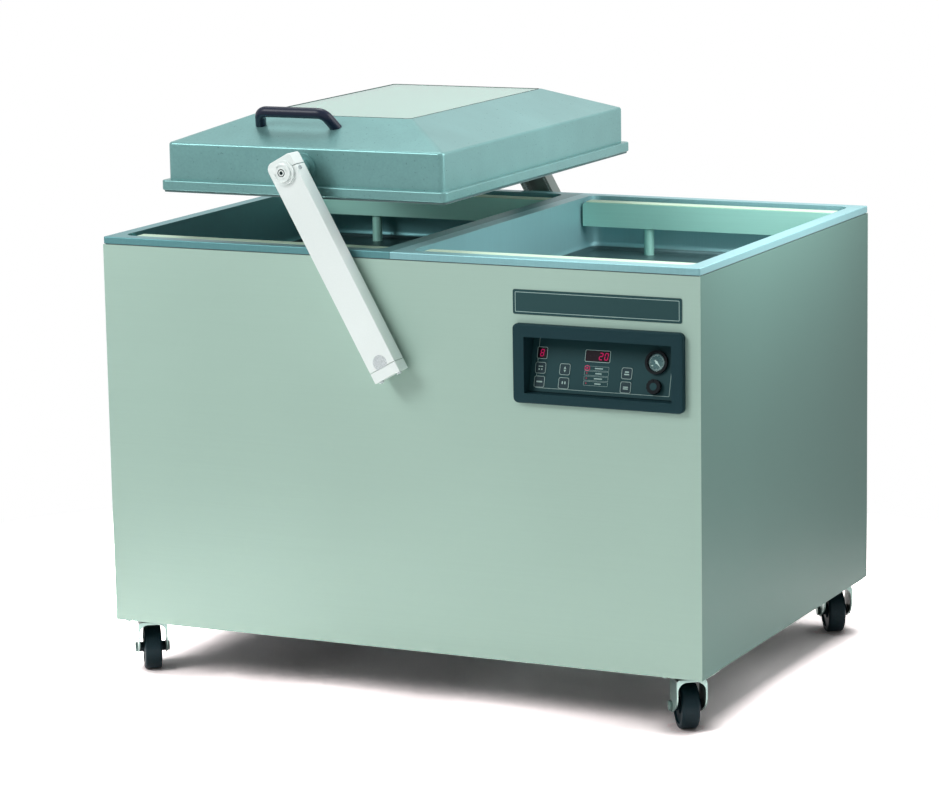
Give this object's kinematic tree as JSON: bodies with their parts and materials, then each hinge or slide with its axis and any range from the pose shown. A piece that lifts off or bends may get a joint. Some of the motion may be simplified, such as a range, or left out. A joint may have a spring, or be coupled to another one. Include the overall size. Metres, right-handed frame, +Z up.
{
  "type": "vacuum sealer",
  "caption": "Floor-standing double-chamber vacuum sealer: steel cabinet on swivel casters, one glazed lid on swing arms, sealing bars and a recessed control unit",
  "frame": {"origin": "on the floor, under the middle of the cabinet", "axes": "+X along the cabinet towards the right chamber as the operator sees it, +Y from the operator's side to the rear, +Z up"},
  "size_m": [1.4, 1.1326, 1.2675],
  "materials": {
    "frame_steel": "satin grey paint over welded tube",
    "panel_steel": "satin brushed stainless",
    "rim_steel": "satin stainless",
    "alloy": "satin extruded alloy",
    "slate_plate": "dark slate, matt",
    "bezel_plastic": "dark moulded, fine grain",
    "face_plastic": "printed film, matt",
    "display_glass": "dark gloss",
    "black_plastic": "black moulded",
    "dial_white": "printed white",
    "clear_lens": "clear",
    "machined_steel": "turned steel",
    "arm_alloy": "fine blasted cast alloy",
    "lid_alloy": "cast alloy, fine hammered",
    "window_acrylic": "clear cast acrylic",
    "gasket_rubber": "soft black",
    "handle_plastic": "dark navy, satin gloss",
    "pump_iron": "painted casting",
    "motor_paint": "grey paint",
    "pipe_rubber": "ribbed hose",
    "strut_paint": "black gloss tube",
    "zinc_steel": "bright zinc",
    "seal_tape": "woven cream glass tape",
    "key_plastic": "pale printed",
    "wheel_tyre": "hard black rubber"
  },
  "bodies": {
    "cabinet": {"chassis_frame": "frame_steel", "front_panel": "panel_steel", "rear_panel": "panel_steel", "left_panel": "panel_steel", "right_panel": "panel_steel", "left_chamber": "rim_steel", "right_chamber": "rim_steel", "lift_cylinders": "alloy", "badge_plate": "slate_plate", "control_bezel": "bezel_plastic", "control_plate": "face_plastic", "display_windows": "display_glass", "gauge_case": "black_plastic", "gauge_dial": "dial_white", "gauge_lens": "clear_lens", "shaft_bearings": "machined_steel", "vacuum_pump": "pump_iron", "pump_motor": "motor_paint", "control_box": "motor_paint", "vacuum_pipes": "pipe_rubber", "suction_valves": "alloy", "cable_gland": "black_plastic", "caster_plates": "zinc_steel", "balance_strut": "strut_paint"},
    "swing_arms": {"swing_shaft": "machined_steel", "front_arm": "arm_alloy", "rear_arm": "arm_alloy", "clamp_caps": "arm_alloy", "level_chains": "machined_steel"},
    "lid": {"lid_shell": "lid_alloy", "lid_window": "window_acrylic", "lid_gasket": "gasket_rubber", "lid_handle": "handle_plastic", "lid_pivots": "machined_steel", "pivot_hubs": "machined_steel", "counter_bars": "alloy"},
    "left_front_bar": {"left_front_seal_bar": "alloy", "left_front_seal_strip": "seal_tape"},
    "left_rear_bar": {"left_rear_seal_bar": "alloy", "left_rear_seal_strip": "seal_tape"},
    "right_front_bar": {"right_front_seal_bar": "alloy", "right_front_seal_strip": "seal_tape"},
    "right_rear_bar": {"right_rear_seal_bar": "alloy", "right_rear_seal_strip": "seal_tape"},
    "key_1_cap": {"key_1": "key_plastic"},
    "key_2_cap": {"key_2": "key_plastic"},
    "key_3_cap": {"key_3": "key_plastic"},
    "key_4_cap": {"key_4": "key_plastic"},
    "key_5_cap": {"key_5": "key_plastic"},
    "key_6_cap": {"key_6": "key_plastic"},
    "knob": {"regulator_knob": "black_plastic"},
    "needle": {"gauge_needle": "black_plastic"},
    "front_left_swivel": {"front_left_fork": "zinc_steel"},
    "front_left_roller": {"front_left_wheel": "wheel_tyre"},
    "front_right_swivel": {"front_right_fork": "zinc_steel"},
    "front_right_roller": {"front_right_wheel": "wheel_tyre"},
    "rear_left_swivel": {"rear_left_fork": "zinc_steel"},
    "rear_left_roller": {"rear_left_wheel": "wheel_tyre"},
    "rear_right_swivel": {"rear_right_fork": "zinc_steel"},
    "rear_right_roller": {"rear_right_wheel": "wheel_tyre"}
  },
  "joints": [
    {"name": "arm_swing", "type": "hinge", "parent": "cabinet", "child": "swing_arms", "pos_m": [0, 0, 0.755], "axis": [0, 1, 0], "range_deg": [-20.5, 78.5], "deforming": ["balance_strut"]},
    {"name": "lid_level", "type": "hinge", "parent": "swing_arms", "child": "lid", "pos_m": [-0.21719, 0, 1.14683], "axis": [0, 1, 0], "range_deg": [-79.5, 21.5]},
    {"name": "left_front_bar_lift", "type": "slide", "parent": "cabinet", "child": "left_front_bar", "axis": [0, 0, 1], "range_m": [0, 0.014]},
    {"name": "left_rear_bar_lift", "type": "slide", "parent": "cabinet", "child": "left_rear_bar", "axis": [0, 0, 1], "range_m": [0, 0.014]},
    {"name": "right_front_bar_lift", "type": "slide", "parent": "cabinet", "child": "right_front_bar", "axis": [0, 0, 1], "range_m": [0, 0.014]},
    {"name": "right_rear_bar_lift", "type": "slide", "parent": "cabinet", "child": "right_rear_bar", "axis": [0, 0, 1], "range_m": [0, 0.014]},
    {"name": "key_1_press", "type": "slide", "parent": "cabinet", "child": "key_1_cap", "axis": [0, 0.9641, -0.2655], "range_m": [0, 0.0005], "stiffness_N_per_m": 400},
    {"name": "key_2_press", "type": "slide", "parent": "cabinet", "child": "key_2_cap", "axis": [0, 0.9641, -0.2655], "range_m": [0, 0.0005], "stiffness_N_per_m": 400},
    {"name": "key_3_press", "type": "slide", "parent": "cabinet", "child": "key_3_cap", "axis": [0, 0.9641, -0.2655], "range_m": [0, 0.0005], "stiffness_N_per_m": 400},
    {"name": "key_4_press", "type": "slide", "parent": "cabinet", "child": "key_4_cap", "axis": [0, 0.9641, -0.2655], "range_m": [0, 0.0005], "stiffness_N_per_m": 400},
    {"name": "key_5_press", "type": "slide", "parent": "cabinet", "child": "key_5_cap", "axis": [0, 0.9641, -0.2655], "range_m": [0, 0.0005], "stiffness_N_per_m": 400},
    {"name": "key_6_press", "type": "slide", "parent": "cabinet", "child": "key_6_cap", "axis": [0, 0.9641, -0.2655], "range_m": [0, 0.0005], "stiffness_N_per_m": 400},
    {"name": "knob_turn", "type": "hinge", "parent": "cabinet", "child": "knob", "pos_m": [0.5935, -0.48558, 0.73022], "axis": [0, -0.9641, 0.2655], "range_deg": [-270, 0]},
    {"name": "needle_turn", "type": "hinge", "parent": "cabinet", "child": "needle", "pos_m": [0.5935, -0.47228, 0.77852], "axis": [0, -0.9641, 0.2655], "range_deg": [-270, 0]},
    {"name": "front_left_swivel_turn", "type": "hinge", "parent": "cabinet", "child": "front_left_swivel", "pos_m": [-0.645, -0.44, 0.12], "axis": [0, 0, 1], "continuous": true},
    {"name": "front_left_wheel_roll", "type": "hinge", "parent": "front_left_swivel", "child": "front_left_roller", "pos_m": [-0.65618, -0.42342, 0.05], "axis": [0.829, 0.5592, 0], "continuous": true},
    {"name": "front_right_swivel_turn", "type": "hinge", "parent": "cabinet", "child": "front_right_swivel", "pos_m": [0.645, -0.44, 0.12], "axis": [0, 0, 1], "continuous": true},
    {"name": "front_right_wheel_roll", "type": "hinge", "parent": "front_right_swivel", "child": "front_right_roller", "pos_m": [0.63353, -0.42362, 0.05], "axis": [0.8192, 0.5736, 0], "continuous": true},
    {"name": "rear_left_swivel_turn", "type": "hinge", "parent": "cabinet", "child": "rear_left_swivel", "pos_m": [-0.645, 0.44, 0.12], "axis": [0, 0, 1], "continuous": true},
    {"name": "rear_left_wheel_roll", "type": "hinge", "parent": "rear_left_swivel", "child": "rear_left_roller", "pos_m": [-0.65618, 0.45658, 0.05], "axis": [0.829, 0.5592, 0], "continuous": true},
    {"name": "rear_right_swivel_turn", "type": "hinge", "parent": "cabinet", "child": "rear_right_swivel", "pos_m": [0.645, 0.44, 0.12], "axis": [0, 0, 1], "continuous": true},
    {"name": "rear_right_wheel_roll", "type": "hinge", "parent": "rear_right_swivel", "child": "rear_right_roller", "pos_m": [0.63411, 0.45677, 0.05], "axis": [0.8387, 0.5446, 0], "continuous": true}
  ],
  "couplings": [
    {"joint": "lid_level", "follows": "arm_swing", "ratio": -1},
    {"joint": "left_rear_bar_lift", "follows": "left_front_bar_lift", "ratio": 1},
    {"joint": "right_rear_bar_lift", "follows": "right_front_bar_lift", "ratio": 1}
  ]
}
